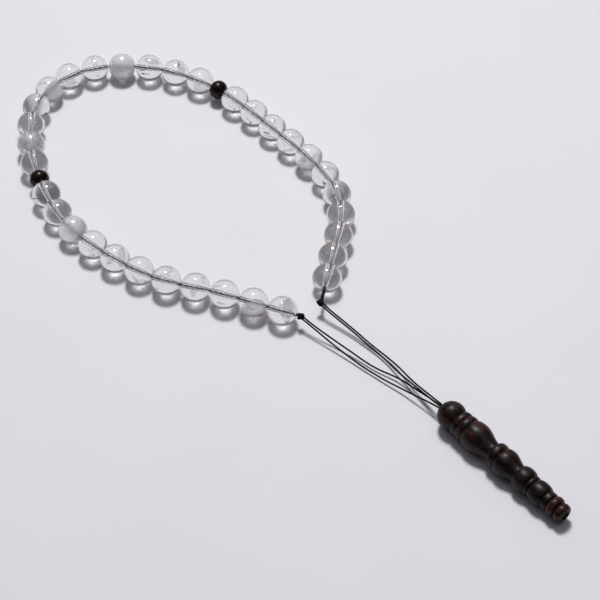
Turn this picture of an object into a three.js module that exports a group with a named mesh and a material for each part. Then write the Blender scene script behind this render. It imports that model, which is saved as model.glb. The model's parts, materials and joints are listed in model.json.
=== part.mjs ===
// A string of prayer beads lying on a flat surface: an open loop of clear quartz beads with two wooden
// divider beads, a stop knot at each end of its string, and a turned wooden terminal on four loose threads.
// Millimetres, +Z up. The loop and the terminal rest on z = 0.
import * as THREE from "three";

// Beads
const crystalDiameter = 10;
const dividerDiameter = 7;
const dividerLength = 6.3;
const boreClearance = 0.25;
const crystalsPerRun = 11;
const beadGap = 0.3;
const spacedBead = 6;
const spacedBeadRoom = 0.8;

// Threads and knots
const threadDiameter = 0.55;
const slackLength = 5;
const knotDiameter = 2.2;
const clearance = 0.3;
const threadSag = 4;

// Terminal. Its body is a ball head and the turnings, in order from the head: each bulges from the groove
// before it to the groove after it, and one with a shoulder is a pear, widest that far from its start.
const head = { length: 8, radius: 4.7 };
const turnings = {
  first_ring: { length: 2.2, before: 3.85, crest: 4.36, after: 3.95, steps: 4 },
  second_ring: { length: 2.6, before: 3.95, crest: 4.5, after: 4, steps: 4 },
  upper_pear: { length: 10.8, before: 4, crest: 4.95, after: 3.1, shoulder: 3.1, steps: 8 },
  collar: { length: 3.2, before: 3.4, crest: 4.36, after: 3.7, steps: 5 },
  lower_pear: { length: 7.8, before: 3.8, crest: 4.62, after: 3.15, shoulder: 2.1, steps: 6 },
  broad_ring: { length: 4.9, before: 3.2, crest: 4.2, after: 3.2, steps: 6 },
  small_ring: { length: 1.5, before: 3.2, crest: 3.56, after: 3.1, steps: 3 },
  ball: { length: 5.4, before: 2.9, crest: 3.92, after: 3, steps: 7 },
  step: { length: 2.2, before: 2.95, crest: 3.22, after: 3, steps: 3 },
};
const capTurnings = {
  flange: { length: 3, before: 2.6, crest: 3.5, after: 2.4, steps: 5 },
  knob: { length: 2.8, before: 2.4, crest: 3.15, after: 2.1, steps: 6 },
};
const spigotRadius = 1.9;
const spigotLength = 3.1;
const knotSeatDepth = 2.4;
const mouth = new THREE.Vector2(87.4, -107.7);
const terminalHeading = THREE.MathUtils.degToRad(-50.1);

// Facets
const beadSides = 16;
const beadArcSteps = 8;
const headSteps = 9;
const terminalSides = 20;
const threadSides = 8;
const stepsPerBead = 2;
const threadSteps = 22;
const planSamples = 6000;

// The string is modelled as short segments, so that it can flex between them.
const beadsPerSegment = 3;

// Sizes that follow from the ones above
const stringRadius = threadDiameter;
const boreRadius = stringRadius + boreClearance;
const bundleRadius = (threadDiameter / 2) * (1 + Math.SQRT2);
const terminalBore = bundleRadius + clearance;
const strandOffset = (threadDiameter + clearance) / 2;
const knotRadius = knotDiameter / 2;
const knotReach = knotRadius + clearance;
const stringHeight = crystalDiameter / 2;

// Seen from above, the loop runs from its right-hand end round the far side to its left-hand end.
const loopPlan = [
  [51, -56], [55, -36], [57, -26], [57, -15], [54, -4], [48, 6], [35, 22], [22, 37], [10, 48],
  [-8, 57], [-27, 59], [-38, 56], [-47, 49], [-52, 40], [-54, 30], [-52, 10], [-47, -6],
  [-38, -24], [-23, -39], [-5, -51], [14, -57], [42, -68],
];

// How far each loose thread lies to the left of the straight line from its knot to the mouth, at even
// steps along that line. The first thread of each pair starts on the left of its knot.
const looseThreads = {
  right: {
    outer: [0.75, 1.35, 1.9, 2.35, 2.6, 2.9, 3.2, 3.3, 3.05, 2.45, 1.85, 1.45, 1.15, 0.8],
    inner: [-0.1, 0.5, 1.05, 1.5, 1.75, 2.05, 2.15, 1.95, 1.55, 1.25, 0.95, 0.6, 0.25, -0.1],
  },
  left: {
    upper: [0.45, 0.7, 1, 1.25, 1.45, 1.5, 1.55, 1.85, 2.5, 2.95, 2.8, 2.35, 1.85, 1.2],
    lower: [-0.4, -0.4, -0.45, -0.5, -0.55, -0.6, -0.65, -0.55, -0.45, -0.2, 0, 0.05, 0.05, -0.1],
  },
};

const quartz = new THREE.MeshStandardMaterial({
  color: 0xe6e8ec, roughness: 0.04, metalness: 0, transparent: true, opacity: 0.35,
});
const darkWood = new THREE.MeshStandardMaterial({ color: 0x1c100c, roughness: 0.35, metalness: 0 });
const redWood = new THREE.MeshStandardMaterial({ color: 0x3a1a10, roughness: 0.4, metalness: 0 });
const blackThread = new THREE.MeshStandardMaterial({ color: 0x0e0c0c, roughness: 0.85, metalness: 0 });

// Lathes turn about this axis.
const lengthways = new THREE.Vector3(0, 1, 0);

function named(name, geometry, material) {
  const mesh = new THREE.Mesh(geometry, material);
  mesh.name = name;
  return mesh;
}

// The point that lies past an end, on the straight line through it from a point before it.
function beyond(before, end, distance) {
  return end.clone().add(end.clone().sub(before).setLength(distance));
}

// Points of half an ellipse round the axis, from one station to another: x is the radius, y the station.
function ellipseArc(centre, halfLength, radius, from, to, steps) {
  const start = Math.asin((from - centre) / halfLength);
  const end = Math.asin((to - centre) / halfLength);
  return Array.from({ length: steps + 1 }, (_, i) => {
    const angle = start + ((end - start) * i) / steps;
    return new THREE.Vector2(radius * Math.cos(angle), centre + halfLength * Math.sin(angle));
  });
}

// A drilled bead along the y axis. Its bore meets the outer surface in a sharp edge.
function beadGeometry(diameter, length) {
  const radius = diameter / 2;
  const edge = (length / 2) * Math.sqrt(1 - (boreRadius / radius) ** 2);
  const outline = ellipseArc(0, length / 2, radius, -edge, edge, beadArcSteps);
  outline.push(outline[0].clone());
  return new THREE.LatheGeometry(outline, beadSides);
}

// A path that is straight from point to point, and is sampled evenly between each two of them.
class StraightPath extends THREE.Curve {
  constructor(points) {
    super();
    this.points = points;
  }
  getPoint(t) {
    const place = Math.min(t, 1) * (this.points.length - 1);
    const index = Math.min(Math.floor(place), this.points.length - 2);
    return this.points[index].clone().lerp(this.points[index + 1], place - index);
  }
  getUtoTmapping(u) {
    return u;
  }
}

function tube(path, radius, steps) {
  const section = new THREE.Shape();
  for (let i = 0; i < threadSides; i++) {
    const angle = ((i + 0.5) / threadSides) * 2 * Math.PI;
    section[i ? "lineTo" : "moveTo"](radius * Math.cos(angle), radius * Math.sin(angle));
  }
  return new THREE.ExtrudeGeometry(section, { extrudePath: path, steps, curveSegments: 1 });
}

// The beads in order, from the right-hand end of the string to the left-hand end, and what each takes up.
function beadSequence() {
  const crystal = { diameter: crystalDiameter, length: crystalDiameter };
  const divider = { diameter: dividerDiameter, length: dividerLength };
  const run = Array(crystalsPerRun).fill(crystal);
  return [...run, divider, ...run, divider, ...run].map((bead, i) => ({
    ...bead,
    room: bead.length + beadGap + (i + 1 === spacedBead ? spacedBeadRoom : 0),
  }));
}

// Steps along a curve's samples, with each bead's room between two points, or null if the curve is too short.
function stepAlong(samples, sequence) {
  const found = [samples[0].clone()];
  let next = 1;
  for (const { room } of sequence) {
    const last = found.at(-1);
    while (next < samples.length && samples[next].distanceTo(last) < room) next++;
    if (next === samples.length) return null;
    found.push(last.clone().add(samples[next].clone().sub(last).setLength(room)));
  }
  return found;
}

// The points between the beads: the string is straight in a bead's bore and bends only at these points.
// The plan keeps its shape, and its size about its right-hand end is the least that holds all the beads.
function gapPoints(sequence) {
  const plan = loopPlan.map(([x, y]) => new THREE.Vector3(x, y, stringHeight));
  const pointsAt = (scale) => {
    const scaled = plan.map((point) => point.clone().sub(plan[0]).multiplyScalar(scale).add(plan[0]));
    const curve = new THREE.CatmullRomCurve3(scaled, false, "centripetal");
    return stepAlong(curve.getPoints(planSamples), sequence);
  };
  let tooShort = 0.5;
  let longEnough = 2;
  while (longEnough - tooShort > 1e-9) {
    const middle = (tooShort + longEnough) / 2;
    if (pointsAt(middle)) longEnough = middle;
    else tooShort = middle;
  }
  return pointsAt(longEnough);
}

function makeBeads(sequence, gaps) {
  const crystalShape = beadGeometry(crystalDiameter, crystalDiameter);
  const dividerShape = beadGeometry(dividerDiameter, dividerLength);
  let crystals = 0;
  let dividers = 0;
  return sequence.map((bead, i) => {
    const mesh = bead.diameter === crystalDiameter && bead.length === crystalDiameter
      ? named(`crystal_bead_${String(++crystals).padStart(2, "0")}`, crystalShape, quartz)
      : named(`divider_bead_${++dividers}`, dividerShape, darkWood);
    mesh.position.copy(gaps[i]).lerp(gaps[i + 1], 0.5);
    const along = gaps[i + 1].clone().sub(gaps[i]).normalize();
    mesh.quaternion.setFromUnitVectors(lengthways, along);
    return mesh;
  });
}

// The string in short segments, each through a few beads. The first one also holds the slack.
function makeString(gaps) {
  const short = (end, inward) => end.clone().add(inward.clone().sub(end).setLength(clearance / 2));
  const segments = [];
  for (let first = 0; first < gaps.length - 1; first += beadsPerSegment) {
    const last = Math.min(first + beadsPerSegment, gaps.length - 1);
    const points = gaps.slice(first, last + 1);
    points[0] = first === 0
      ? beyond(gaps[1], gaps[0], slackLength)
      : short(gaps[first], gaps[first + 1]);
    points[points.length - 1] = short(gaps[last], gaps[last - 1]);
    const name = `string_segment_${String(segments.length + 1).padStart(2, "0")}`;
    const steps = stepsPerBead * (points.length - 1);
    segments.push(named(name, tube(new StraightPath(points), stringRadius, steps), blackThread));
  }
  return segments;
}

function makeKnot(name, centre) {
  const outline = ellipseArc(0, knotRadius, knotRadius, -knotRadius, knotRadius, beadArcSteps);
  const knot = named(name, new THREE.LatheGeometry(outline, beadSides / 2), blackThread);
  knot.position.copy(centre);
  return knot;
}

// Where each turning starts, counted from the mouth, and where the last one ends.
function stations(from, parts) {
  const starts = {};
  let station = from;
  for (const [name, part] of Object.entries(parts)) {
    starts[name] = station;
    station += part.length;
  }
  return { ...starts, end: station };
}

const bodyStations = stations(head.length, turnings);
const capStart = bodyStations.end + clearance;
const capStations = stations(capStart, capTurnings);

// The terminal lies on the crests of its two pears, which gives its tilt and the height of its mouth.
const upperCrest = bodyStations.upper_pear + turnings.upper_pear.shoulder;
const lowerCrest = bodyStations.lower_pear + turnings.lower_pear.shoulder;
const terminalTilt = Math.atan2(
  turnings.upper_pear.crest - turnings.lower_pear.crest, lowerCrest - upperCrest,
);
const mouthHeight =
  turnings.upper_pear.crest * Math.cos(terminalTilt) + upperCrest * Math.sin(terminalTilt);
const mouthPoint = new THREE.Vector3(mouth.x, mouth.y, mouthHeight);
const terminalAxis = new THREE.Vector3(
  Math.cos(terminalHeading) * Math.cos(terminalTilt),
  Math.sin(terminalHeading) * Math.cos(terminalTilt),
  -Math.sin(terminalTilt),
);
const alongTerminal = (station) => mouthPoint.clone().addScaledVector(terminalAxis, station);

// A loose thread sags between its knot and the mouth. side says on which side of its pair it starts and
// ends, and layer whether its pair goes into the mouth above or below the other one.
function looseThread(name, knot, asides, side, layer) {
  const end = alongTerminal(-clearance);
  const course = end.clone().sub(knot.position).setZ(0).normalize();
  const left = new THREE.Vector3(-course.y, course.x, 0);
  const start = knot.position.clone().addScaledVector(course, knotReach);
  const steps = asides.length + 1;
  const offsets = [side * strandOffset, ...asides, side * strandOffset];
  const points = offsets.map((offset, i) => {
    const part = i / steps;
    const point = start.clone().lerp(end, part).addScaledVector(left, offset);
    point.z += layer * strandOffset * THREE.MathUtils.smoothstep(part, 0.5, 0.8);
    point.z -= threadSag * Math.sin(Math.PI * part);
    return point;
  });
  const curve = new THREE.CatmullRomCurve3(points, false, "centripetal");
  return named(name, tube(curve, threadDiameter / 2, threadSteps), blackThread);
}

// A turning's outline: a round bulge between its grooves.
function ringOutline({ length, before, crest, after, steps }, start) {
  return Array.from({ length: steps }, (_, i) => {
    const part = (i + 0.5) / steps;
    const angle = Math.PI * part;
    const root = before + (after - before) * part;
    const station = start + (length * (1 - Math.cos(angle))) / 2;
    return new THREE.Vector2(root + (crest - root) * Math.sin(angle), station);
  });
}

// A pear's outline: a quarter-round shoulder up to its crest, then an even curve down to its waist.
function pearOutline({ length, before, crest, after, shoulder, steps }, start) {
  const rising = Array.from({ length: steps / 2 }, (_, i) => {
    const angle = (i / steps) * Math.PI;
    const station = start + shoulder * (1 - Math.cos(angle));
    return new THREE.Vector2(before + (crest - before) * Math.sin(angle), station);
  });
  const falling = Array.from({ length: steps }, (_, i) => {
    const part = i / steps;
    const radius = after + ((crest - after) * (1 + Math.cos(Math.PI * part))) / 2;
    return new THREE.Vector2(radius, start + shoulder + (length - shoulder) * part);
  });
  return [...rising, ...falling];
}

function turnedOutline(parts, starts) {
  return Object.entries(parts).flatMap(([name, part]) =>
    part.shoulder ? pearOutline(part, starts[name]) : ringOutline(part, starts[name]),
  );
}

function lathed(name, outline, material) {
  const closed = [...outline, outline[0].clone()];
  const mesh = named(name, new THREE.LatheGeometry(closed, terminalSides), material);
  mesh.quaternion.setFromUnitVectors(lengthways, terminalAxis);
  mesh.position.copy(mouthPoint);
  return mesh;
}

function makeTerminalBody() {
  const front = head.radius * (1 - Math.sqrt(1 - (terminalBore / head.radius) ** 2));
  const socketStart = bodyStations.end - spigotLength;
  const socketRadius = spigotRadius + clearance;
  return lathed("terminal_body", [
    ...ellipseArc(head.radius, head.radius, head.radius, front, head.length, headSteps),
    ...turnedOutline(turnings, bodyStations),
    new THREE.Vector2(turnings.step.after, bodyStations.end),
    new THREE.Vector2(socketRadius, bodyStations.end),
    new THREE.Vector2(socketRadius, socketStart),
    new THREE.Vector2(terminalBore, socketStart),
  ], darkWood);
}

function makeTerminalCap() {
  const spigotEnd = capStart - spigotLength;
  const tip = capStations.end;
  return lathed("terminal_cap", [
    new THREE.Vector2(terminalBore, spigotEnd),
    new THREE.Vector2(spigotRadius, spigotEnd),
    new THREE.Vector2(spigotRadius, capStart),
    new THREE.Vector2(capTurnings.flange.before, capStart),
    ...turnedOutline(capTurnings, capStations),
    new THREE.Vector2(capTurnings.knob.after, tip),
    new THREE.Vector2(knotReach, tip),
    new THREE.Vector2(knotReach, tip - knotSeatDepth),
    new THREE.Vector2(terminalBore, tip - knotSeatDepth),
  ], redWood);
}

// The bundle of threads in the terminal's bore, and the knot that holds it in the tip.
function makeThreadEnd() {
  const seatFloor = capStations.end - knotSeatDepth;
  const path = new THREE.LineCurve3(alongTerminal(clearance), alongTerminal(seatFloor - clearance));
  return [
    named("thread_tail", tube(path, bundleRadius, stepsPerBead), blackThread),
    makeKnot("end_knot", alongTerminal(seatFloor + knotRadius)),
  ];
}

const sequence = beadSequence();
const gaps = gapPoints(sequence);
const knots = {
  right: makeKnot("knot_right", beyond(gaps[1], gaps[0], slackLength + knotReach)),
  left: makeKnot("knot_left", beyond(gaps.at(-2), gaps.at(-1), knotReach - beadGap / 2)),
};
const threads = Object.entries(looseThreads).flatMap(([end, pair]) =>
  Object.entries(pair).map(([name, asides], i) =>
    looseThread(`thread_${end}_${name}`, knots[end], asides, i ? -1 : 1, end === "right" ? 1 : -1),
  ),
);

const prayerBeads = new THREE.Group();
prayerBeads.add(
  ...makeBeads(sequence, gaps),
  ...makeString(gaps),
  knots.right,
  knots.left,
  makeTerminalBody(),
  makeTerminalCap(),
  ...makeThreadEnd(),
);

// The origin is at the bottom centre of everything but the loose threads.
const box = new THREE.Box3().setFromObject(prayerBeads, true);
const middle = box.getCenter(new THREE.Vector3());
prayerBeads.add(...threads);
prayerBeads.position.set(-middle.x, -middle.y, -box.min.z);

const frame = new THREE.Group();
frame.add(prayerBeads);

export default frame;
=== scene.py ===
import json

import bpy
import numpy as np
from mathutils import Matrix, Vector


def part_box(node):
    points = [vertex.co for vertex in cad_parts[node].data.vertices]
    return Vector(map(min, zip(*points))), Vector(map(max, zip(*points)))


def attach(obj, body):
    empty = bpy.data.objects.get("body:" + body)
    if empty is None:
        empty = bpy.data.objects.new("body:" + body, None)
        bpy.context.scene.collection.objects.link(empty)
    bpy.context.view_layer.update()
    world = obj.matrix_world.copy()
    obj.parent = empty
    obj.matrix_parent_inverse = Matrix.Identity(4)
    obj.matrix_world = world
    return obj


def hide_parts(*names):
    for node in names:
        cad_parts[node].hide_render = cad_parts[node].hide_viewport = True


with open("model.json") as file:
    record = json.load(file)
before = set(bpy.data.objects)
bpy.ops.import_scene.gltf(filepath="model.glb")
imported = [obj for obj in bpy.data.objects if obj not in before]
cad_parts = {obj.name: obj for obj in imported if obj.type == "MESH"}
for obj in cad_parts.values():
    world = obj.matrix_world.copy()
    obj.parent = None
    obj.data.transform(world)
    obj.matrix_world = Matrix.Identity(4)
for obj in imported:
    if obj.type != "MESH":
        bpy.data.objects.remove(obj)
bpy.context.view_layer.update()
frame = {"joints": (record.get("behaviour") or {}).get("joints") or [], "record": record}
mm = 0.001
upwards = np.array((0.0, 0.0, 1.0))
joints = {joint["name"]: joint for joint in frame["joints"]}
bodyOf = {node: body for body, nodes in frame["record"]["behaviour"]["bodies"].items() for node in nodes}


viewpoint = {"place": (0.010134, -0.472909, 0.481689), "tilt": 43.7, "lens": 120.0, "sensor": 36.0}


def makeCamera():
    lens = bpy.data.cameras.new("tableCamera")
    lens.lens, lens.sensor_width = viewpoint["lens"], viewpoint["sensor"]
    lens.clip_start, lens.clip_end = 0.01, 30
    camera = bpy.data.objects.new("tableCamera", lens)
    camera.location = viewpoint["place"]
    camera.rotation_euler = (np.radians(viewpoint["tilt"]), 0, 0)
    bpy.context.scene.collection.objects.link(camera)
    bpy.context.scene.camera = camera


makeCamera()
print("camera placed")


def unit(vectors):
    return vectors / np.linalg.norm(vectors, axis=-1, keepdims=True)


def middleOf(node):
    low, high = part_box(node)
    return (np.array(low) + np.array(high)) / 2


def gridFaces(rows, columns, closedRows=False):
    # Four-sided faces of a grid that is closed round its columns: point (i, j) is number i * columns + j.
    i, j = np.meshgrid(np.arange(rows - (not closedRows)), np.arange(columns), indexing="ij")
    i, j = i.ravel(), j.ravel()
    nextI, nextJ = (i + 1) % rows, (j + 1) % columns
    return np.stack([i * columns + j, nextI * columns + j, nextI * columns + nextJ, i * columns + nextJ], 1)


def facingOut(points, faces):
    # The sum of the signed corner volumes is positive when the faces of a closed body point outwards.
    volume = sum(
        np.einsum("ij,ij->", points[f[:, 0]], np.cross(points[f[:, k]], points[f[:, k + 1]]))
        for f in faces for k in range(1, f.shape[1] - 1)
    )
    return faces if volume > 0 else [f[:, ::-1] for f in faces]


def putMesh(name, points, faces, material, values=None, sharpAngle=None):
    points = np.asarray(points, float).reshape(-1, 3)
    faces = facingOut(points - points.mean(0), [np.asarray(f) for f in faces])
    mesh = bpy.data.meshes.new(name)
    mesh.vertices.add(len(points))
    mesh.vertices.foreach_set("co", points.astype(np.float32).ravel())
    corners = np.concatenate([f.ravel() for f in faces]).astype(np.int32)
    sizes = np.concatenate([np.full(len(f), f.shape[1]) for f in faces])
    mesh.loops.add(len(corners))
    mesh.loops.foreach_set("vertex_index", corners)
    mesh.polygons.add(len(sizes))
    mesh.polygons.foreach_set("loop_start", np.concatenate([[0], np.cumsum(sizes)[:-1]]).astype(np.int32))
    mesh.update(calc_edges=True)
    mesh.polygons.foreach_set("use_smooth", np.ones(len(sizes), bool))
    for key, value in (values or {}).items():
        mesh.attributes.new(key, "FLOAT", "POINT").data.foreach_set("value", value.astype(np.float32).ravel())
    if sharpAngle:
        mesh.set_sharp_from_angle(angle=np.radians(sharpAngle))
    mesh.materials.append(material)
    piece = bpy.data.objects.new(name, mesh)
    bpy.context.scene.collection.objects.link(piece)
    return piece


def turned(profile, foot, axis, sides):
    # A closed profile (radius, station) carried round the axis:
    # foot + station * axis + radius * (cos a, sin a).
    across = unit(np.cross(axis, upwards))
    over = np.cross(across, axis)
    angle = np.linspace(0, 2 * np.pi, sides, endpoint=False)
    ring = np.cos(angle)[:, None] * across + np.sin(angle)[:, None] * over
    points = foot + profile[:, 1, None, None] * axis + profile[:, 0, None, None] * ring
    return points.reshape(-1, 3), [gridFaces(len(profile), sides, closedRows=True)]


def smoothPath(points, count):
    # A natural cubic curve through the points, over the length of the straight lines between them.
    points = np.asarray(points, float)
    u = np.concatenate([[0], np.cumsum(np.linalg.norm(np.diff(points, axis=0), axis=1))])
    h, n = np.diff(u), len(points)
    system, right = np.eye(n), np.zeros((n, 3))
    k = np.arange(1, n - 1)
    system[k, k - 1], system[k, k], system[k, k + 1] = h[:-1], 2 * (h[:-1] + h[1:]), h[1:]
    slope = np.diff(points, axis=0) / h[:, None]
    right[1:-1] = 6 * np.diff(slope, axis=0)
    bend = np.linalg.solve(system, right)
    at = np.linspace(0, u[-1], count)
    i = np.clip(np.searchsorted(u, at) - 1, 0, n - 2)
    a, b, w = (u[i + 1] - at)[:, None], (at - u[i])[:, None], h[i][:, None]
    return (
        (bend[i] * a**3 + bend[i + 1] * b**3) / (6 * w)
        + (points[i] / w - bend[i] * w / 6) * a + (points[i + 1] / w - bend[i + 1] * w / 6) * b
    )


def pathFrame(path, closed=False):
    ahead = np.roll(path, -1, 0) - np.roll(path, 1, 0) if closed else np.gradient(path, axis=0)
    ahead = unit(ahead)
    across = unit(np.cross(ahead, upwards))
    step = np.linalg.norm(np.diff(path, axis=0), axis=1)
    return across, np.cross(across, ahead), np.concatenate([[0], np.cumsum(step)])


def twistedTube(path, radius, sides, pitch, plies, dent, aside=0.0, phase=0.0, closed=False):
    # A tube along the path, whose section has one lobe for each ply and turns once in a pitch.
    # aside moves its middle off the path, so that two such tubes wind round each other.
    across, over, length = pathFrame(path, closed)
    radius, pitch, aside = (np.broadcast_to(value, len(path)) for value in (radius, pitch, aside))
    turn = phase + 2 * np.pi * np.concatenate([[0], np.cumsum(np.diff(length) / pitch[1:])])
    middle = path + aside[:, None] * (np.cos(turn)[:, None] * across + np.sin(turn)[:, None] * over)
    angle = np.linspace(0, 2 * np.pi, sides, endpoint=False)[None]
    lobe = 1 - dent * (1 - np.abs(np.cos(plies / 2 * (angle - 2 * turn[:, None]))))
    reach = (radius[:, None] * lobe)[..., None]
    points = middle[:, None] + reach * (
        np.cos(angle)[..., None] * across[:, None] + np.sin(angle)[..., None] * over[:, None]
    )
    faces = [gridFaces(len(path), sides, closed)]
    if not closed:
        ends = np.arange(sides)[None]
        faces += [ends, (len(path) - 1) * sides + ends[:, ::-1]]
    return points.reshape(-1, 3), faces


def together(parts):
    # Several closed bodies as one piece.
    points, faces, start = [], [], 0
    for p, f in parts:
        points.append(p)
        faces += [g + start for g in facingOut(p - p.mean(0), f)]
        start += len(p)
    return np.concatenate(points), faces


def newFinish(name):
    finish = bpy.data.materials.new(name)
    finish.use_nodes = True
    return finish, finish.node_tree.nodes["Principled BSDF"]


def add(finish, kind, **sockets):
    node = finish.node_tree.nodes.new("ShaderNode" + kind)
    for key, value in sockets.items():
        if hasattr(node, key):
            setattr(node, key, value)
        else:
            node.inputs[key.replace("_", " ")].default_value = value
    return node


def link(finish, fromSocket, toSocket):
    finish.node_tree.links.new(fromSocket, toSocket)


def ramp(finish, factor, stops):
    node = add(finish, "ValToRGB")
    while len(node.color_ramp.elements) < len(stops):
        node.color_ramp.elements.new(0.5)
    for element, (place, colour) in zip(node.color_ramp.elements, stops):
        element.position, element.color = place, (*colour, 1)
    link(finish, factor, node.inputs["Fac"])
    return node.outputs["Color"]


def noise(finish, scale, detail=3.0, roughness=0.5, distortion=0.0, place=None):
    node = add(finish, "TexNoise", Scale=scale, Detail=detail, Roughness=roughness, Distortion=distortion)
    if place is None:
        place = add(finish, "TexCoord").outputs["Object"]
    link(finish, place, node.inputs["Vector"])
    return node.outputs["Fac"]


def between(finish, value, low, high, fromLow=0.0, fromHigh=1.0):
    node = add(finish, "MapRange")
    for key, number in zip(("From Min", "From Max", "To Min", "To Max"), (fromLow, fromHigh, low, high)):
        node.inputs[key].default_value = number
    link(finish, value, node.inputs["Value"])
    return node.outputs["Result"]


def bumpFrom(finish, shader, height, distance, strength=1.0):
    node = add(finish, "Bump", Strength=strength, Distance=distance)
    link(finish, height, node.inputs["Height"])
    link(finish, node.outputs["Normal"], shader.inputs["Normal"])


# Scales are in waves per metre, depths in metres.
quartz = {
    "ior": 1.544, "drift": 240, "hazeScale": 900, "polish": 1600, "polishDepth": 0.0000006,
    "glowDepth": 0.003, "glowColour": (1.0, 0.95, 0.9), "coatRoughness": 0.02,
    "clear": {"tint": (1.0, 1.0, 1.0), "shade": (0.98, 0.975, 0.99), "through": 0.92,
              "haze": (0.0, 0.012), "coat": 0.0, "glow": 0.0},
    "hazy": {"tint": (1.0, 0.99, 0.985), "shade": (0.97, 0.96, 0.95), "through": 0.72,
             "haze": (0.1, 0.2), "coat": 1.0, "glow": 0.5},
    "cloudy": {"tint": (0.98, 0.975, 0.975), "shade": (0.96, 0.95, 0.955), "through": 0.4,
               "haze": (0.12, 0.18), "coat": 1.0, "glow": 1.0},
}


def quartzFinish(name):
    # Polished rock crystal, with a faint drift of tone and fine polishing marks. A cloudy one scatters
    # light inside, under the same smooth polish.
    finish, shader = newFinish(name + "Quartz")
    kind = quartz[name]
    shader.inputs["Transmission Weight"].default_value = kind["through"]
    shader.inputs["IOR"].default_value = quartz["ior"]
    drift = noise(finish, quartz["drift"], 4, 0.55, 0.6)
    tones = [(0.3, kind["shade"]), (0.62, kind["tint"])]
    link(finish, ramp(finish, drift, tones), shader.inputs["Base Color"])
    haze = noise(finish, quartz["hazeScale"], 2)
    link(finish, between(finish, haze, *kind["haze"], 0.35, 0.75), shader.inputs["Roughness"])
    shader.inputs["Subsurface Weight"].default_value = kind["glow"]
    shader.inputs["Subsurface Radius"].default_value = quartz["glowColour"]
    shader.inputs["Subsurface Scale"].default_value = quartz["glowDepth"]
    shader.inputs["Coat Weight"].default_value = kind["coat"]
    shader.inputs["Coat IOR"].default_value = quartz["ior"]
    shader.inputs["Coat Roughness"].default_value = quartz["coatRoughness"]
    bumpFrom(finish, shader, noise(finish, quartz["polish"], 2, 0.6), quartz["polishDepth"])
    return finish


def veilFinish():
    # Healed cracks and tiny bubbles inside the crystal: each fleck is anything from dark to silvery.
    finish, shader = newFinish("veil")
    tones = [(0.38, (0.05, 0.05, 0.055)), (0.5, (0.5, 0.5, 0.52)), (0.62, (0.97, 0.97, 0.98))]
    link(finish, ramp(finish, noise(finish, 700, 2, 0.6), tones), shader.inputs["Base Color"])
    shader.inputs["Transmission Weight"].default_value = 0.55
    shader.inputs["IOR"].default_value = 1.2
    link(finish, between(finish, noise(finish, 3000, 2), 0.15, 0.5), shader.inputs["Roughness"])
    return finish


def milkFinish():
    # The milky heart of some beads: white clouds with a thinner, clearer edge.
    finish, shader = newFinish("milk")
    clouds = noise(finish, 420, 4, 0.6, 0.8)
    tones = [(0.3, (0.9, 0.88, 0.86)), (0.7, (1.0, 0.99, 0.98))]
    link(finish, ramp(finish, clouds, tones), shader.inputs["Base Color"])
    shader.inputs["Transmission Weight"].default_value = 0.6
    shader.inputs["IOR"].default_value = 1.05
    link(finish, between(finish, clouds, 0.35, 0.7), shader.inputs["Roughness"])
    return finish


def sheetFinish():
    # A faint silvery veil: patchy, and nearly as clear as the crystal round it.
    finish, shader = newFinish("sheet")
    patches = noise(finish, 900, 4, 0.65, 1.0)
    tones = [(0.35, (0.86, 0.86, 0.88)), (0.65, (1.0, 1.0, 1.0))]
    link(finish, ramp(finish, patches, tones), shader.inputs["Base Color"])
    shader.inputs["Transmission Weight"].default_value = 0.85
    shader.inputs["IOR"].default_value = 1.05
    link(finish, between(finish, patches, 0.05, 0.4, 0.4, 0.7), shader.inputs["Roughness"])
    return finish


def rustFinish():
    # The iron stain in some beads.
    finish, shader = newFinish("ironStain")
    tones = [(0.3, (0.5, 0.17, 0.03)), (0.7, (0.9, 0.48, 0.14))]
    link(finish, ramp(finish, noise(finish, 1400, 3), tones), shader.inputs["Base Color"])
    shader.inputs["Transmission Weight"].default_value = 0.3
    link(finish, between(finish, noise(finish, 2400, 2), 0.25, 0.6), shader.inputs["Roughness"])
    return finish


def woodFinish(name, foot, axis, dark, mid, warm, gloss):
    # Dense dark wood: long streaks and short pores along the piece, lighter and warmer on the crests as wear,
    # and darkened in the grooves and the bore as painted shade.
    finish, shader = newFinish(name)
    across = unit(np.cross(axis, upwards))
    turning = Matrix(np.stack([across, np.cross(across, axis), axis], 1).tolist())
    place = add(finish, "Mapping", vector_type="TEXTURE")
    place.inputs["Location"].default_value = foot
    place.inputs["Rotation"].default_value = turning.to_euler()
    place.inputs["Scale"].default_value = (1, 1, 9)
    link(finish, add(finish, "TexCoord").outputs["Object"], place.inputs["Vector"])
    streaks = noise(finish, 900, 5, 0.62, 0.4, place.outputs["Vector"])
    pores = noise(finish, 4200, 2, 0.5, 0.0, place.outputs["Vector"])
    shadeAndWearMask = add(finish, "Attribute", attribute_name="standOut").outputs["Fac"]
    grain = ramp(finish, streaks, [(0.34, dark), (0.52, mid), (0.68, warm)])
    shadeAndWear = add(finish, "Mix", data_type="RGBA", blend_type="MULTIPLY")
    shadeAndWear.inputs["Factor"].default_value = 1.0
    link(finish, grain, shadeAndWear.inputs["A"])
    # Painted shade and wear: the grooves and the bore are darkened to 0.3 of the grain as painted shade, and
    # the crests are lightened and warmed to 1.25 as wear.
    tones = [(0.0, (0.3, 0.28, 0.27)), (0.45, (0.8, 0.78, 0.76)), (1.0, (1.25, 1.15, 1.1))]
    link(finish, ramp(finish, shadeAndWearMask, tones), shadeAndWear.inputs["B"])
    link(finish, shadeAndWear.outputs["Result"], shader.inputs["Base Color"])
    link(finish, between(finish, streaks, gloss - 0.06, gloss + 0.14, 0.3, 0.75), shader.inputs["Roughness"])
    shader.inputs["Specular IOR Level"].default_value = 0.22
    bumpFrom(finish, shader, pores, 0.00003, 0.5)
    return finish


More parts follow.
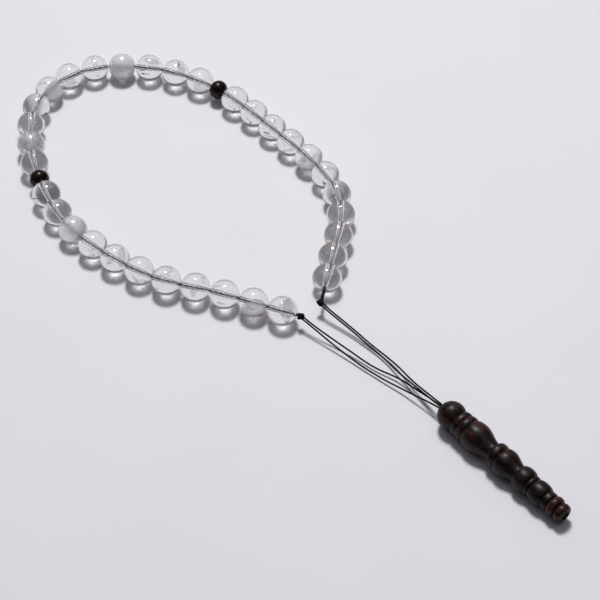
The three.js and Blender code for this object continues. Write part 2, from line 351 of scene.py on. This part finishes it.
def threadFinish():
    # Black waxed thread with a brown cast and a fine fuzz.
    finish, shader = newFinish("blackThread")
    tones = [(0.3, (0.0025, 0.0018, 0.0018)), (0.75, (0.014, 0.008, 0.007))]
    link(finish, ramp(finish, noise(finish, 2600, 3), tones), shader.inputs["Base Color"])
    link(finish, between(finish, noise(finish, 5000, 2), 0.45, 0.8), shader.inputs["Roughness"])
    shader.inputs["Specular IOR Level"].default_value = 0.1
    bumpFrom(finish, shader, noise(finish, 9000, 2, 0.7), 0.00003, 0.5)
    return finish


quartzFinishes = {name: quartzFinish(name) for name in ("clear", "hazy", "cloudy")}
veil, sheet, milk = veilFinish(), sheetFinish(), milkFinish()
ironStain, blackThread = rustFinish(), threadFinish()
print("finishes mixed")


# How far each thread lies to the left of the straight line from its knot to the mouth, in mm at even steps.
looseThreads = {
    "thickness": 0.55, "gap": 0.3, "sag": 4.0, "inKnot": 0.5, "inMouth": 0.5, "pitch": 3.0, "plies": 3,
    "dent": 0.24, "crest": 1.14, "sides": 12, "samples": 420, "cordStep": 12,
    "crossing": (0.5, 0.8),  # where one pair climbs over the other, as parts of the way
    "routes": {
        "thread_right_outer": (0.75, 1.35, 1.9, 2.35, 2.6, 2.9, 3.2, 3.3, 3.05, 2.45, 1.85, 1.45, 1.15, 0.8),
        "thread_right_inner": (-0.1, 0.5, 1.05, 1.5, 1.75, 2.05, 2.15, 1.95, 1.55, 1.25, 0.95, 0.6, 0.25,
                               -0.1),
        "thread_left_upper": (0.45, 0.7, 1, 1.25, 1.45, 1.5, 1.55, 1.85, 2.5, 2.95, 2.8, 2.35, 1.85, 1.2),
        "thread_left_lower": (-0.4, -0.4, -0.45, -0.5, -0.55, -0.6, -0.65, -0.55, -0.45, -0.2, 0, 0.05, 0.05,
                              -0.1),
    },
}
mouth = np.array(joints["terminal_swing"]["pos_m"])
terminalAxis = np.array(joints["terminal_spin"]["axis"])


def looseRoute(name):
    # Along the line from knot to mouth, moved aside by the listed steps, and sagging as half a sine wave.
    settings = looseThreads
    side = 1 if name.endswith(("outer", "upper")) else -1
    layer = 1 if "right" in name else -1
    knot = middleOf("knot_right" if "right" in name else "knot_left")
    end = mouth + terminalAxis * settings["inMouth"] * mm
    course = unit((end - knot) * (1, 1, 0))
    left = np.array((-course[1], course[0], 0))
    beside = (settings["thickness"] + settings["gap"]) / 2
    aside = np.array([side * beside, *settings["routes"][name], side * beside]) * mm
    part = np.linspace(0, 1, len(aside))[:, None]
    first, last = settings["crossing"]
    eased = np.clip((part - first) / (last - first), 0, 1)
    route = (knot + course * settings["inKnot"] * mm) * (1 - part) + end * part + left * aside[:, None]
    lift = layer * beside * eased**2 * (3 - 2 * eased) - settings["sag"] * np.sin(np.pi * part)
    return route + upwards * lift * mm


def makeLooseThreads():
    settings = looseThreads
    for name in settings["routes"]:
        path = smoothPath(looseRoute(name), settings["samples"])
        radius = settings["thickness"] / 2 * settings["crest"] * mm
        tube = twistedTube(path, radius, settings["sides"], settings["pitch"] * mm, settings["plies"],
                           settings["dent"])
        piece = putMesh(name + "_twist", *tube, blackThread)
        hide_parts(name)
        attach(piece, bodyOf[name])


makeLooseThreads()


def beadNodes():
    # In order along the string, from its right-hand end to its left-hand end.
    crystals = ["crystal_bead_%02d" % k for k in range(1, 34)]
    return crystals[:11] + ["divider_bead_1"] + crystals[11:22] + ["divider_bead_2"] + crystals[22:]


def beadPlace(node):
    # The middle and the bore's direction, towards the left-hand end.
    if node == "crystal_bead_01":
        return middleOf(node), -unit(np.array(joints[node + "_slide"]["axis"]))
    joint = joints[node + "_spin"]
    return np.array(joint["pos_m"]), unit(np.array(joint["axis"]))


crystalBead = {
    "radius": 5.0, "bore": 0.62, "rim": 0.12, "arcSteps": 84, "boreSteps": 8, "sides": 112,
    "sharpAngle": 50,
    "widerBore": {"crystal_bead_01": 0.8},  # it slides over the thicker slack
    "kinds": {"crystal_bead_15": "cloudy", "crystal_bead_21": "hazy", "crystal_bead_25": "hazy"},
    # Where the iron stain lies on the surface, seen from the bead's middle, and how wide it is in radians.
    "stained": {
        "crystal_bead_01": [((0.1, -1.0, -0.4), 0.35)],
        "crystal_bead_02": [((-0.5, 0.4, 0.83), 0.3), ((0.68, -0.79, -0.25), 0.28)],
        "crystal_bead_03": [((0.6, 0.33, 0.8), 0.22)],
        "crystal_bead_32": [((0.5, -0.85, -0.37), 0.22)],
    },
    # The middle of the milky heart, from the bead's middle in mm, and its half sizes.
    "milky": {
        "crystal_bead_18": ((1.5, -0.6, -0.6), (2.5, 2.9, 2.9)),
        "crystal_bead_07": ((-0.4, -1.0, -1.4), (2.6, 2.0, 1.6)),
        "crystal_bead_32": ((0.5, -0.8, -1.2), (2.8, 2.2, 1.7)),
    },
}
dividerBead = {
    "radius": 3.5, "halfLength": 3.15, "bore": 0.75, "rim": 0.3, "arcSteps": 48, "boreSteps": 6, "sides": 72,
    "dark": (0.002, 0.0011, 0.001), "mid": (0.007, 0.0032, 0.0025), "warm": (0.028, 0.009, 0.006),
    # groove and crest: the radii in mm from the darkest painted shade in the grooves to the lightest worn
    # crests.
    "gloss": 0.2, "groove": 0.2, "crest": 3.5, "sharpAngle": 50,
}
rimSteps = 6


def beadProfile(radius, halfLength, bore, rim, arcSteps, boreSteps):
    # Half an ellipse down to the rim, a quarter round into the bore, and the bore's straight wall back.
    top = np.arcsin(np.sqrt(1 - ((bore + rim) / radius) ** 2))
    arc = np.linspace(-top, top, arcSteps)
    outer = np.stack([radius * np.cos(arc), halfLength * np.sin(arc)], 1)
    edge = outer[-1, 1]
    bend = np.linspace(0, np.pi / 2, rimSteps)[1:]
    quarter = np.stack([bore + rim * (1 - np.sin(bend)), edge - rim * (1 - np.cos(bend))], 1)
    along = np.linspace(quarter[-1, 1], -quarter[-1, 1], boreSteps + 2)[1:-1]
    wall = np.stack([np.full(boreSteps, bore), along], 1)
    return np.concatenate([outer, quarter, wall, quarter[::-1] * (1, -1)]) * mm


def unitBall(rows, columns):
    # Rings of points between two poles, with four-sided faces between the rings and triangles at the poles.
    down, along = np.meshgrid(
        np.linspace(0, np.pi, rows + 2)[1:-1], np.linspace(0, 2 * np.pi, columns, endpoint=False),
        indexing="ij",
    )
    ball = np.stack([np.sin(down) * np.cos(along), np.sin(down) * np.sin(along), np.cos(down)], -1)
    ball = np.concatenate([ball.reshape(-1, 3), [(0, 0, 1), (0, 0, -1)]])
    j = np.arange(columns)
    last, pole = (rows - 1) * columns, rows * columns
    caps = np.concatenate([
        np.stack([np.full(columns, pole), j, (j + 1) % columns], 1),
        np.stack([np.full(columns, pole + 1), last + (j + 1) % columns, last + j], 1),
    ])
    return ball, gridFaces(rows, columns), caps


def flakes(centres, turns, sizes, rows=4, columns=7):
    # Flat little ellipsoids: each is a ball of a few faces, stretched by its three half sizes and turned.
    ball, quads, caps = unitBall(rows, columns)
    points = centres[:, None] + np.einsum("nij,npj->npi", turns, ball[None] * sizes[:, None])
    start = np.arange(len(centres))[:, None, None] * len(ball)
    return points.reshape(-1, 3), [(part[None] + start).reshape(-1, part.shape[1]) for part in (quads, caps)]


# Lengths in mm. A fleck's sizes lie between the two of "size", mostly near the first.
flaws = {
    "count": (14, 40), "spread": (0.3, 3.6), "arc": 1.9, "height": 1.4, "bow": 0.08, "stray": 0.25,
    "size": (0.035, 0.3), "rarity": 2.2, "thin": 0.16, "cracks": (1, 4),
    "crackSize": ((0.6, 0.1, 0.012), (1.5, 0.3, 0.02)), "offBore": 0.1, "farthest": 4.75,
}
sheets = {
    "count": (1, 3), "stray": 0.25, "size": ((0.8, 0.6, 0.01), (2.1, 1.6, 0.022)), "offAxis": (1.7, 2.6),
    "rows": 5, "columns": 28,
}
stains = {
    "seed": 7, "count": 22, "stray": 0.05, "size": ((0.3, 0.15, 0.02), (0.65, 0.32, 0.035)), "inset": 0.01,
}
hearts = {"rows": 32, "columns": 48, "farthest": 4.6}


def veilOf(node, number):
    # Flecks strewn over a gently curved sheet inside the bead, as a healed crack lies, and a few thin films.
    rng = np.random.default_rng(100 + number)
    centre, axis = beadPlace(node)
    count, films = int(rng.integers(*flaws["count"])), int(rng.integers(*flaws["cracks"]))
    normal = unit(rng.normal(size=3))
    across = unit(np.cross(normal, upwards + 0.1))
    over = np.cross(normal, across)
    spread = rng.uniform(*flaws["spread"], count)
    way = rng.uniform(0, flaws["arc"], count) + rng.uniform(0, 6.3)
    u, v = spread * np.cos(way), spread * np.sin(way)
    w = rng.uniform(-flaws["height"], flaws["height"]) + flaws["bow"] * u * v
    w += rng.normal(0, flaws["stray"], count)
    small, large = np.log(flaws["size"])
    sizes = np.exp(small + (large - small) * rng.uniform(0, 1, (count, 1)) ** flaws["rarity"])
    sizes = sizes * rng.uniform(0.5, 1, (count, 3))
    sizes[:, 2] *= flaws["thin"]
    sizes[:films] = rng.uniform(*flaws["crackSize"], (films, 3))
    centres = u[:, None] * across + v[:, None] * over + w[:, None] * normal
    fromAxis = np.linalg.norm(centres - (centres @ axis)[:, None] * axis, axis=1)
    reach = np.linalg.norm(centres, axis=1) + sizes.max(1)
    keep = (fromAxis - sizes.max(1) > crystalBead["bore"] + flaws["offBore"]) & (reach < flaws["farthest"])
    turn = np.stack([across, over, normal], 1)
    return flakes(centre + centres[keep] * mm, np.repeat(turn[None], keep.sum(), 0), sizes[keep] * mm)


def sheetOf(node, number):
    # One or two wide and very thin ellipsoids beside the bore, as faint veils through the crystal.
    rng = np.random.default_rng(300 + number)
    centre, axis = beadPlace(node)
    count = int(rng.integers(*sheets["count"]))
    way = unit(np.cross(axis, rng.normal(size=(count, 3))))
    tilt = unit(way + rng.normal(0, sheets["stray"], (count, 3)))
    side = unit(np.cross(tilt, axis))
    turns = np.stack([side, np.cross(tilt, side), tilt], -1)
    sizes = rng.uniform(*sheets["size"], (count, 3))
    places = centre + way * rng.uniform(*sheets["offAxis"], (count, 1)) * mm
    return flakes(places, turns, sizes * mm, sheets["rows"], sheets["columns"])


def stainOf(node, towards, width):
    # A bowed film of iron stain in the surface: overlapping flakes along a short arc facing the given way.
    centre, _ = beadPlace(node)
    towards = unit(np.array(towards))
    along = unit(np.cross(towards, upwards))
    rng, count = np.random.default_rng(stains["seed"]), stains["count"]
    angle, lift = rng.uniform(-width, width, count), rng.normal(0, stains["stray"], count)
    way = unit(towards + angle[:, None] * along + lift[:, None] * np.cross(along, towards))
    side = unit(np.cross(way, upwards))
    turns = np.stack([side, np.cross(way, side), way], -1)
    sizes = rng.uniform(*stains["size"], (count, 3))
    return flakes(centre + (crystalBead["radius"] - stains["inset"]) * mm * way, turns, sizes * mm)


def milkOf(node):
    # A lumpy ball: its radius swells and shrinks by a few sines of the direction, inside the bead.
    centre, _ = beadPlace(node)
    middle, half = (np.array(part) for part in crystalBead["milky"][node])
    way, quads, caps = unitBall(hearts["rows"], hearts["columns"])
    x, y, z = way.T
    lump = 1 + 0.07 * np.sin(4 * x + 2 * y) + 0.06 * np.sin(5 * y - 3 * z + 1)
    points = middle + way * half * lump[:, None]
    points *= np.minimum(1, hearts["farthest"] / np.linalg.norm(points, axis=1, keepdims=True))
    return centre + points * mm, [quads, caps]


def makeCrystalBead(node, number):
    settings = crystalBead
    centre, axis = beadPlace(node)
    bore = settings["widerBore"].get(node, settings["bore"])
    profile = beadProfile(settings["radius"], settings["radius"], bore, settings["rim"],
                          settings["arcSteps"], settings["boreSteps"])
    finish = quartzFinishes[settings["kinds"].get(node, "clear")]
    body = turned(profile, centre, axis, settings["sides"])
    piece = putMesh(node + "_polished", *body, finish, sharpAngle=settings["sharpAngle"])
    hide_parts(node)
    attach(piece, bodyOf[node])
    if settings["kinds"].get(node) != "cloudy":
        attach(putMesh(node + "_veil", *veilOf(node, number), veil), bodyOf[node])
        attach(putMesh(node + "_sheet", *sheetOf(node, number), sheet), bodyOf[node])
    if node in settings["stained"]:
        films = together([stainOf(node, *film) for film in settings["stained"][node]])
        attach(putMesh(node + "_stain", *films, ironStain), bodyOf[node])
    if node in settings["milky"]:
        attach(putMesh(node + "_milk", *milkOf(node), milk), bodyOf[node])


def standOutOf(points, foot, axis, low, high):
    # 0 in the grooves and 1 on the crests, by the distance from the axis between low and high in mm.
    out = points - foot
    radius = np.linalg.norm(out - (out @ axis)[:, None] * axis, axis=1)
    return {"standOut": np.clip((radius - low * mm) / ((high - low) * mm), 0, 1)}


def makeDivider(node):
    settings = dividerBead
    centre, axis = beadPlace(node)
    profile = beadProfile(settings["radius"], settings["halfLength"], settings["bore"], settings["rim"],
                          settings["arcSteps"], settings["boreSteps"])
    finish = woodFinish("dividerWood_" + node[-1], centre, axis, settings["dark"], settings["mid"],
                        settings["warm"], settings["gloss"])
    points, faces = turned(profile, centre, axis, settings["sides"])
    # The mask for the painted shade in the grooves and bore and the wear on the crests.
    shadeAndWear = standOutOf(points, centre, axis, settings["groove"], settings["crest"])
    piece = putMesh(node + "_turned", points, faces, finish, shadeAndWear, settings["sharpAngle"])
    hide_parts(node)
    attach(piece, bodyOf[node])


def makeBeads():
    for number, node in enumerate(beadNodes()):
        if node.startswith("crystal"):
            makeCrystalBead(node, number)
        else:
            makeDivider(node)


makeBeads()
print("beads polished")


stringPair = {
    "strand": 0.19, "slackStrand": 0.36, "dent": 0.28, "pitch": 2.3, "slackPitch": 1.7, "plies": 3,
    "apart": 0.94,  # how far a strand's middle is from the pair's middle, in strand radii
    "slackEnd": 6.6, "slackFade": 1.2,  # from the knot in mm, and over how many mm it thins
    "beadsPerSegment": 3, "sides": 10, "stepsPerMm": 7, "halfRoom": {"crystal": 5.15, "divider": 3.3},
}
knotShape = {
    "steps": 150, "loop": 0.92, "tube": 0.48, "sides": 12, "pitch": 1.1, "plies": 3, "dent": 0.24,
    "core": (1.2, 1.2, 1.1),
    "knots": {
        "knot_right": {"size": (1.0, 1.0, 1.0), "turn": 20},
        "knot_left": {"size": (1.02, 1.0, 1.0), "turn": -35},
        "end_knot": {"size": (1.0, 1.0, 1.0), "turn": 70},
    },
}


def gapsOnString():
    # The points between the beads, halfway between the ends of two neighbours' bores.
    places = [beadPlace(node) for node in beadNodes()]
    half = np.array([stringPair["halfRoom"][node.split("_")[0]] for node in beadNodes()]) * mm
    centre, axis = np.array([p[0] for p in places]), np.array([p[1] for p in places])
    ahead, behind = centre + axis * half[:, None], centre - axis * half[:, None]
    return np.concatenate([behind[:1], (ahead[:-1] + behind[1:]) / 2, ahead[-1:]])


def straightSteps(points):
    # Even steps along the straight lines between the points.
    at = np.concatenate([[0], np.cumsum(np.linalg.norm(np.diff(points, axis=0), axis=1))])
    count = int(at[-1] / mm * stringPair["stepsPerMm"])
    even = np.linspace(0, at[-1], count)
    return np.stack([np.interp(even, at, points[:, k]) for k in range(3)], 1)


def makeString():
    settings, gaps = stringPair, gapsOnString()
    step = settings["beadsPerSegment"]
    right, left = middleOf("knot_right"), middleOf("knot_left")
    starts = range(0, len(gaps) - 1, step)
    for number, first in enumerate(starts, 1):
        points = gaps[first:first + step + 1]
        if first == 0:
            points = np.concatenate([[right], points])
        if first + step >= len(gaps) - 1:
            points = np.concatenate([points, [left]])
        path = straightSteps(points)
        loose = np.zeros(len(path))
        if first == 0:
            fromKnot = np.linalg.norm(path - right, axis=1) / mm
            loose = np.clip((settings["slackEnd"] - fromKnot) / settings["slackFade"], 0, 1)
        strand = (settings["strand"] + (settings["slackStrand"] - settings["strand"]) * loose) * mm
        pitch = (settings["pitch"] + (settings["slackPitch"] - settings["pitch"]) * loose) * mm
        pair = together([
            twistedTube(path, strand, settings["sides"], pitch, settings["plies"], settings["dent"],
                        strand * settings["apart"], phase)
            for phase in (0, np.pi)
        ])
        node = "string_segment_%02d" % number
        piece = putMesh(node + "_twist", *pair, blackThread)
        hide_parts(node)
        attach(piece, bodyOf[node])


def makeKnot(node):
    # An overhand knot pulled tight: a three-lobed closed loop of thread that passes over and under itself.
    shape, middle = knotShape, middleOf(node)
    settings = shape["knots"][node]
    size = np.array(settings["size"]) * mm
    t = np.linspace(0, 2 * np.pi, shape["steps"], endpoint=False)
    loop = np.stack([
        np.sin(t) + 2 * np.sin(2 * t), np.cos(t) - 2 * np.cos(2 * t), -1.7 * np.sin(3 * t),
    ], 1) / 3
    loop *= size * shape["loop"]
    turn = np.radians(settings["turn"])
    spin = np.array([[np.cos(turn), -np.sin(turn), 0], [np.sin(turn), np.cos(turn), 0], [0, 0, 1]])
    wrap = twistedTube(middle + loop @ spin.T, shape["tube"] * mm, shape["sides"], shape["pitch"] * mm,
                       shape["plies"], shape["dent"], closed=True)
    core = flakes(middle[None], np.eye(3)[None], np.array([shape["core"]]) * size)
    piece = putMesh(node + "_tied", *together([wrap, core]), blackThread)
    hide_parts(node)
    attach(piece, bodyOf[node])


makeString()
for knotNode in knotShape["knots"]:
    makeKnot(knotNode)
print("string threaded and knotted")


# Lengths and radii in mm, in order from the mouth. Each bulge has its name, its length, the radii of the
# groove before, the crest and the groove after, and a shoulder: a pear is widest that far from its start.
turnedRod = {
    "headRadius": 4.7, "headLength": 8.0, "headSteps": 40, "bore": 0.964, "mouthRim": 0.25, "flatLip": 0.8,
    "sides": 128, "steps": 26,
    "body": [
        ("firstRing", 2.2, 3.85, 4.36, 3.95, 0), ("secondRing", 2.6, 3.95, 4.5, 4.0, 0),
        ("upperPear", 10.8, 4.0, 4.95, 3.1, 3.1), ("collar", 3.2, 3.4, 4.36, 3.7, 0),
        ("lowerPear", 7.8, 3.8, 4.62, 3.15, 2.1), ("broadRing", 4.9, 3.2, 4.2, 3.2, 0),
        ("smallRing", 1.5, 3.2, 3.56, 3.1, 0), ("ball", 5.4, 2.9, 3.92, 3.0, 0),
        ("step", 2.2, 2.95, 3.22, 3.0, 0),
    ],
    "cap": [("flange", 3.0, 2.6, 3.5, 2.4, 0), ("knob", 2.8, 2.4, 3.15, 2.1, 0)],
    "capGap": 0.12, "endFace": 2.85, "spigot": 1.9, "spigotLength": 3.1, "spigotShort": 0.3,
    "socketRoom": 0.3, "knotSeat": 1.4, "knotSeatDepth": 2.4,
    # Round the hole in the tip: radius and height over the knob's end.
    "tipEdge": (2.02, 0.09), "tipFlat": (1.9, 0.14), "holeBevel": 0.12, "tipHeight": 0.18,
    # groove and crest: the radii in mm from the darkest painted shade in the grooves to the lightest worn
    # crests.
    "sharpAngle": 40, "groove": 2.6, "crest": 4.8,
    "woods": {
        "terminal_body": ("terminal_wood", (0.002, 0.001, 0.0009), (0.009, 0.0036, 0.003),
                          (0.045, 0.0125, 0.0085), 0.36),
        "terminal_cap": ("cap_wood", (0.012, 0.004, 0.002), (0.05, 0.015, 0.007), (0.16, 0.05, 0.024), 0.34),
    },
}


def bulge(length, before, crest, after, shoulder, start):
    # A ring is half a wave between its grooves. A pear has a quarter-round shoulder and falls as a cosine.
    steps = turnedRod["steps"]
    if not shoulder:
        angle = np.linspace(0, np.pi, steps)
        root = before + (after - before) * angle / np.pi
        return np.stack([root + (crest - root) * np.sin(angle), start + length * (1 - np.cos(angle)) / 2], 1)
    rise = np.linspace(0, np.pi / 2, steps)[:-1]
    fall = np.linspace(0, 1, 2 * steps)
    up = np.stack([before + (crest - before) * np.sin(rise), start + shoulder * (1 - np.cos(rise))], 1)
    down = np.stack([after + (crest - after) * (1 + np.cos(np.pi * fall)) / 2,
                     start + shoulder + (length - shoulder) * fall], 1)
    return np.concatenate([up, down])


def bulges(parts, start):
    outlines = []
    for _, length, before, crest, after, shoulder in parts:
        outlines.append(bulge(length, before, crest, after, shoulder, start))
        start += length
    return np.concatenate(outlines), start


def makeTerminal():
    settings = turnedRod
    radius, bore, rim = settings["headRadius"], settings["bore"], settings["mouthRim"]
    front = np.arccos(-np.sqrt(1 - ((bore + rim) / radius) ** 2))
    back = np.arccos((settings["headLength"] - radius) / radius)
    arc = np.linspace(front, back, settings["headSteps"])
    head = np.stack([radius * np.sin(arc), radius + radius * np.cos(arc)], 1)
    lip = np.linspace(np.pi / 2, 0, rimSteps)[:-1]
    lips = np.stack([bore + rim * (1 - np.sin(lip)),
                     head[0, 1] + rim * (1 - np.cos(lip)) * settings["flatLip"]], 1)
    outline, end = bulges(settings["body"], settings["headLength"])
    socket = settings["spigot"] + settings["socketRoom"]
    socketStart = end - settings["spigotLength"]
    inside = np.array([(settings["endFace"], end), (socket, end), (socket, socketStart), (bore, socketStart),
                       (bore, socketStart * 0.66), (bore, socketStart * 0.33)])
    body = np.concatenate([lips, head, outline, inside]) * mm
    capStart = end + settings["capGap"]
    spigotEnd = end - settings["spigotLength"] + settings["spigotShort"]
    capOutline, tip = bulges(settings["cap"], capStart)
    seat, floor = settings["knotSeat"], tip + settings["tipHeight"] - settings["knotSeatDepth"]
    (edge, edgeHeight), (flat, flatHeight) = settings["tipEdge"], settings["tipFlat"]
    bevel = settings["holeBevel"]
    cap = np.concatenate([
        [(bore, spigotEnd), (settings["spigot"], spigotEnd), (settings["spigot"], capStart)], capOutline,
        [(edge, tip + edgeHeight), (flat, tip + flatHeight), (seat + bevel, tip + flatHeight),
         (seat, tip + flatHeight - bevel), (seat, floor), (bore, floor)],
    ]) * mm
    for node, profile in (("terminal_body", body), ("terminal_cap", cap)):
        slot, *wood = settings["woods"][node]
        finish = woodFinish(slot, mouth, terminalAxis, *wood)
        points, faces = turned(profile, mouth, terminalAxis, settings["sides"])
        # The mask for the painted shade in the grooves and bore and the wear on the crests.
        shadeAndWear = standOutOf(points, mouth, terminalAxis, settings["groove"], settings["crest"])
        piece = putMesh(node + "_turned", points, faces, finish, shadeAndWear, settings["sharpAngle"])
        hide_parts(node)
        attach(piece, bodyOf[node])


tail = {"radius": 0.66, "inMouth": 0.4, "steps": 240, "sides": 24, "pitch": 9.0, "plies": 4, "dent": 0.3}


def makeThreadTail():
    # The four threads as one bundle down the middle of the rod, from the mouth to the knot in its tip.
    path = np.linspace(mouth + terminalAxis * tail["inMouth"] * mm, middleOf("end_knot"), tail["steps"])
    tube = twistedTube(path, tail["radius"] * mm, tail["sides"], tail["pitch"] * mm, tail["plies"],
                       tail["dent"])
    piece = putMesh("thread_tail_bundle", *tube, blackThread)
    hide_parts("thread_tail")
    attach(piece, bodyOf["thread_tail"])


makeTerminal()
makeThreadTail()
print("terminal turned")


table = {"halfWidth": 3.0, "pale": (0.79, 0.79, 0.82), "paler": (0.81, 0.81, 0.84), "roughness": 0.85,
         "specular": 0.2}
keyLight = {
    "distance": 1.5, "elevation": 65.0, "azimuth": -8.0, "size": 0.36, "power": 6.05, "spread": 110.0,
    "aim": (0.045, -0.035, 0.0), "colour": (1.0, 0.99, 0.985),
}
# The room is bright round the lamp and dim on the far side, by the cosine of the angle from the lamp.
roomLight = {"dim": (0.036, 0.033, 0.045), "grey": (0.3, 0.288, 0.34), "bright": (0.99, 0.96, 1.07),
             "backdrop": (1.25, 1.24, 1.3), "strength": 0.49}


def makeTable():
    half = table["halfWidth"]
    finish, shader = newFinish("paleTable")
    link(finish, ramp(finish, noise(finish, 18, 3), [(0.3, table["pale"]), (0.7, table["paler"])]),
         shader.inputs["Base Color"])
    shader.inputs["Roughness"].default_value = table["roughness"]
    shader.inputs["Specular IOR Level"].default_value = table["specular"]
    mesh = bpy.data.meshes.new("table")
    corners = [(-half, -half, 0), (half, -half, 0), (half, half, 0), (-half, half, 0)]
    mesh.from_pydata(corners, [], [(0, 1, 2, 3)])
    mesh.materials.append(finish)
    top = bpy.data.objects.new("table", mesh)
    bpy.context.scene.collection.objects.link(top)


def makeLight():
    lamp = bpy.data.lights.new("softLamp", "AREA")
    lamp.shape, lamp.size = "DISK", keyLight["size"]
    lamp.energy, lamp.color = keyLight["power"], keyLight["colour"]
    lamp.spread = np.radians(keyLight["spread"])
    up, turn = np.radians(keyLight["elevation"]), np.radians(keyLight["azimuth"])
    away = np.array((np.sin(turn) * np.cos(up), np.cos(turn) * np.cos(up), np.sin(up)))
    holder = bpy.data.objects.new("softLamp", lamp)
    holder.location = tuple(away * keyLight["distance"] + np.array(keyLight["aim"]))
    holder.rotation_euler = (-(np.pi / 2 - up), 0, -turn)
    bpy.context.scene.collection.objects.link(holder)
    world = bpy.data.worlds.new("room")
    world.use_nodes = True
    background = world.node_tree.nodes["Background"]
    facing = add(world, "VectorMath", operation="DOT_PRODUCT")
    facing.inputs[1].default_value = away
    link(world, add(world, "TexCoord").outputs["Generated"], facing.inputs[0])
    tones = [(0.25, roomLight["dim"]), (0.6, roomLight["grey"]), (1.0, roomLight["bright"])]
    # The camera sees a paler backdrop than the room that lights the beads.
    seen = add(world, "Mix", data_type="RGBA")
    seen.inputs["B"].default_value = (*roomLight["backdrop"], 1)
    link(world, add(world, "LightPath").outputs["Is Camera Ray"], seen.inputs["Factor"])
    link(world, ramp(world, facing.outputs["Value"], tones), seen.inputs["A"])
    link(world, seen.outputs["Result"], background.inputs["Color"])
    background.inputs["Strength"].default_value = roomLight["strength"]
    bpy.context.scene.world = world
    bpy.context.scene.view_settings.view_transform = "Standard"


makeTable()
makeLight()
print("table and light set")
